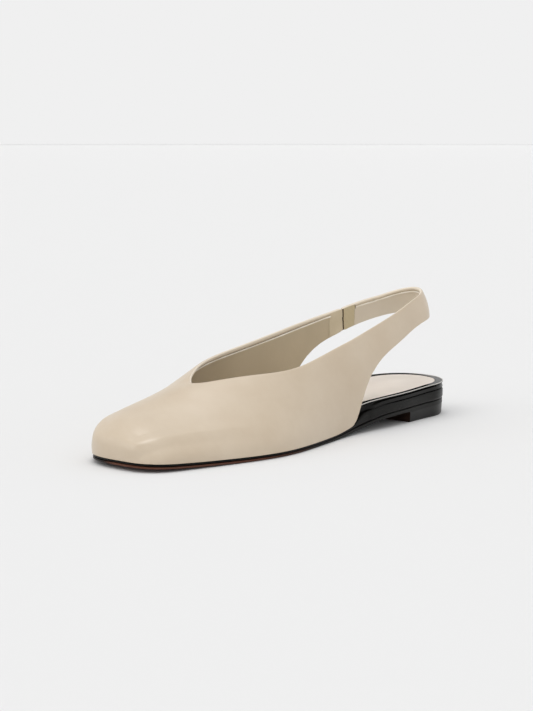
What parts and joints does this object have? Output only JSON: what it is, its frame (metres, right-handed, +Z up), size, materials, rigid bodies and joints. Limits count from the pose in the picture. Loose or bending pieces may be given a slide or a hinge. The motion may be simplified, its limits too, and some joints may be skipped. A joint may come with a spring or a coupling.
{
  "type": "sling back flat",
  "caption": "Womens flat leather shoe, left foot: rounded square toe, V throat, open waist, sling strap round the heel and a low block heel.",
  "frame": {"origin": "middle of the shoe's footprint box, on the ground", "axes": "+Z up, toe towards -Y, outer side of the foot towards +X"},
  "size_m": [0.08, 0.2498, 0.0712],
  "materials": {
    "upper_leather": "smooth satin calf, beige, with a fine grain",
    "elastic": "woven elastic, dull olive beige",
    "sock_lining": "matt lining leather, pale pinkish beige",
    "rim": "black wrapped edge, satin",
    "sole_edge": "black dyed edge, polished",
    "outsole": "dark brown sole leather, polished edge",
    "heel": "black heel block, satin"
  },
  "bodies": {
    "root": {"upper": "upper_leather", "elastic": "elastic", "sock": "sock_lining", "footbed": "rim", "midsole": "sole_edge", "outsole": "outsole", "heel": "heel"}
  },
  "joints": []
}
